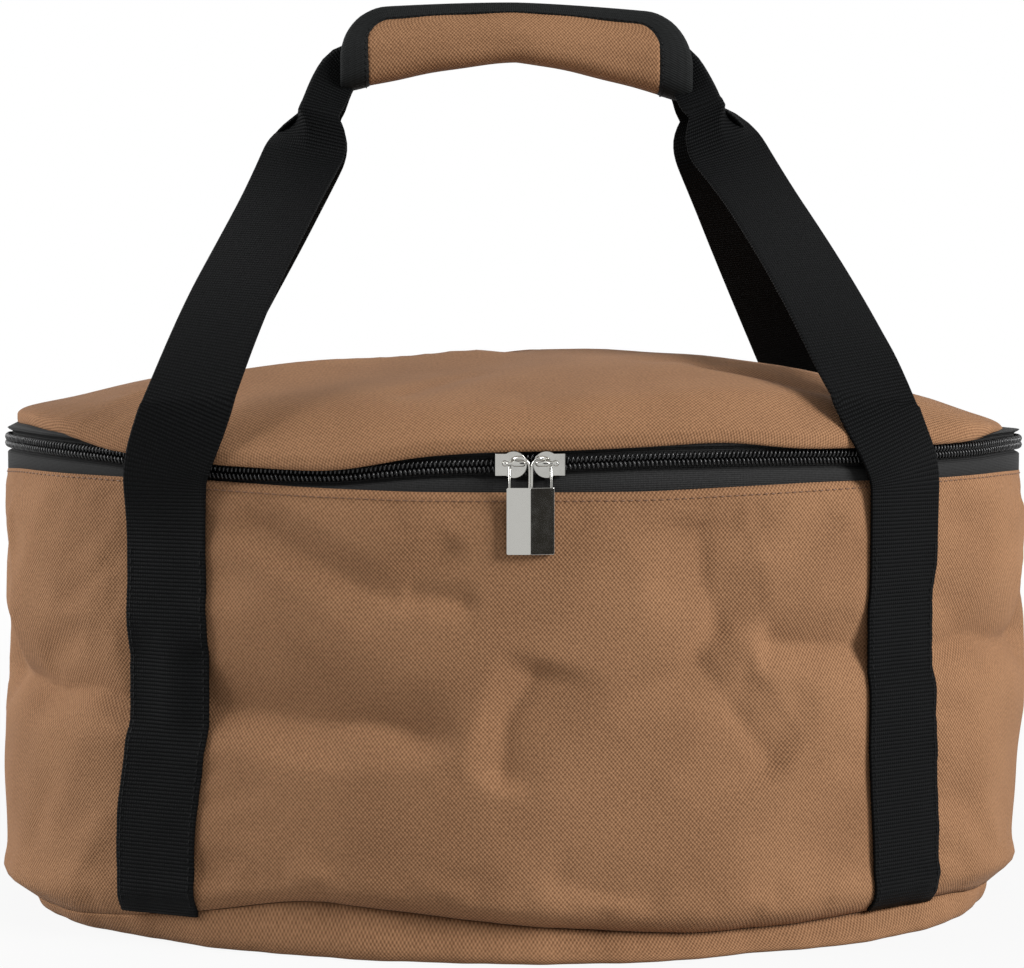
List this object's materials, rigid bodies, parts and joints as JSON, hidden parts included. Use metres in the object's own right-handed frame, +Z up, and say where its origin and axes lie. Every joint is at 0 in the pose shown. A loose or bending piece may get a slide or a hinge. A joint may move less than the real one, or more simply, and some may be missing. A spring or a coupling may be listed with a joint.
{
  "type": "camping dish storage bag",
  "caption": "Oval padded cloth bag with a zipped domed lid, webbing straps sewn down the wall and two carrying loops joined by a wrap grip.",
  "frame": {"origin": "on the floor at the middle of the base panel", "axes": "+X along the bag's length to the right, +Y to the back where the lid hinges, +Z up"},
  "size_m": [0.376, 0.245, 0.3299],
  "materials": {
    "cloth": "matte plain-weave polyester, brown",
    "lining": "matte thin polyester, dark grey",
    "foam": "matte closed-cell foam, white",
    "board": "matte sheet, dark grey",
    "webbing": "ribbed woven webbing, black",
    "binding": "fine woven tape, black",
    "fastener": "hook and loop pile, black",
    "zip_tape": "fine woven tape, black",
    "zip_coil": "satin nylon coil, black",
    "nickel": "polished nickel plate"
  },
  "bodies": {
    "bag_body": {"base_panel": "cloth", "base_board": "board", "base_lining": "lining", "base_seam_tape": "binding", "front_wall": "cloth", "back_wall": "cloth", "wall_padding": "foam", "wall_lining": "lining", "lower_zip_tape": "zip_tape", "lower_zip_coil": "zip_coil", "lid_hinge_cloth": "cloth", "front_left_strap": "webbing", "front_right_strap": "webbing", "back_left_strap": "webbing", "back_right_strap": "webbing", "front_left_strap_bend": "webbing", "front_right_strap_bend": "webbing", "back_left_strap_bend": "webbing", "back_right_strap_bend": "webbing"},
    "lid": {"lid_panel": "cloth", "lid_padding": "foam", "lid_lining": "lining", "upper_zip_tape": "zip_tape", "upper_zip_coil": "zip_coil"},
    "front_handle": {"front_loop": "webbing"},
    "back_handle": {"back_loop": "webbing", "grip_back_panel": "cloth", "grip_back_binding": "binding", "grip_hook_strip": "fastener"},
    "grip_flap": {"grip_flap_panel": "cloth", "grip_flap_binding": "binding", "grip_loop_strip": "fastener"},
    "left_slider": {"left_slider": "nickel"},
    "right_slider": {"right_slider": "nickel"},
    "left_pull": {"left_pull": "nickel"},
    "right_pull": {"right_pull": "nickel"}
  },
  "joints": [
    {"name": "lid_open", "type": "hinge", "parent": "bag_body", "child": "lid", "pos_m": [0, 0.121, 0.161], "axis": [-1, 0, 0], "range_deg": [0, 100], "deforming": ["lid_hinge_cloth", "front_left_strap_bend", "front_right_strap_bend", "back_left_strap_bend", "back_right_strap_bend", "grip_flap_panel", "grip_flap_binding", "grip_loop_strip"]},
    {"name": "front_handle_swing", "type": "hinge", "parent": "bag_body", "child": "front_handle", "pos_m": [0, -0.0885, 0.1355], "axis": [1, 0, 0], "range_deg": [0, 150]},
    {"name": "back_handle_swing", "type": "hinge", "parent": "bag_body", "child": "back_handle", "pos_m": [0, 0.0885, 0.1355], "axis": [-1, 0, 0], "range_deg": [0, 150]},
    {"name": "grip_flap_open", "type": "hinge", "parent": "back_handle", "child": "grip_flap", "pos_m": [0, 0, 0.2955], "axis": [1, 0, 0], "range_deg": [0, 110]},
    {"name": "left_slider_run", "type": "hinge", "parent": "bag_body", "child": "left_slider", "pos_m": [0, 0.136, 0.1635], "axis": [0, 0, -1], "range_deg": [0, 33], "deforming": ["lower_zip_coil", "upper_zip_coil"]},
    {"name": "right_slider_run", "type": "hinge", "parent": "bag_body", "child": "right_slider", "pos_m": [0, 0.136, 0.1635], "axis": [0, 0, 1], "range_deg": [0, 33]},
    {"name": "left_pull_swing", "type": "hinge", "parent": "left_slider", "child": "left_pull", "pos_m": [-0.0029, -0.1185, 0.1635], "axis": [0.0248, 0.9997, 0], "range_deg": [0, 30]},
    {"name": "right_pull_swing", "type": "hinge", "parent": "right_slider", "child": "right_pull", "pos_m": [0.0029, -0.1185, 0.1635], "axis": [0.0248, -0.9997, 0], "range_deg": [0, 30]}
  ],
  "couplings": [
    {"joint": "front_handle_swing", "follows": "lid_open", "ratio": 1.5},
    {"joint": "back_handle_swing", "follows": "lid_open", "ratio": 1.5}
  ]
}
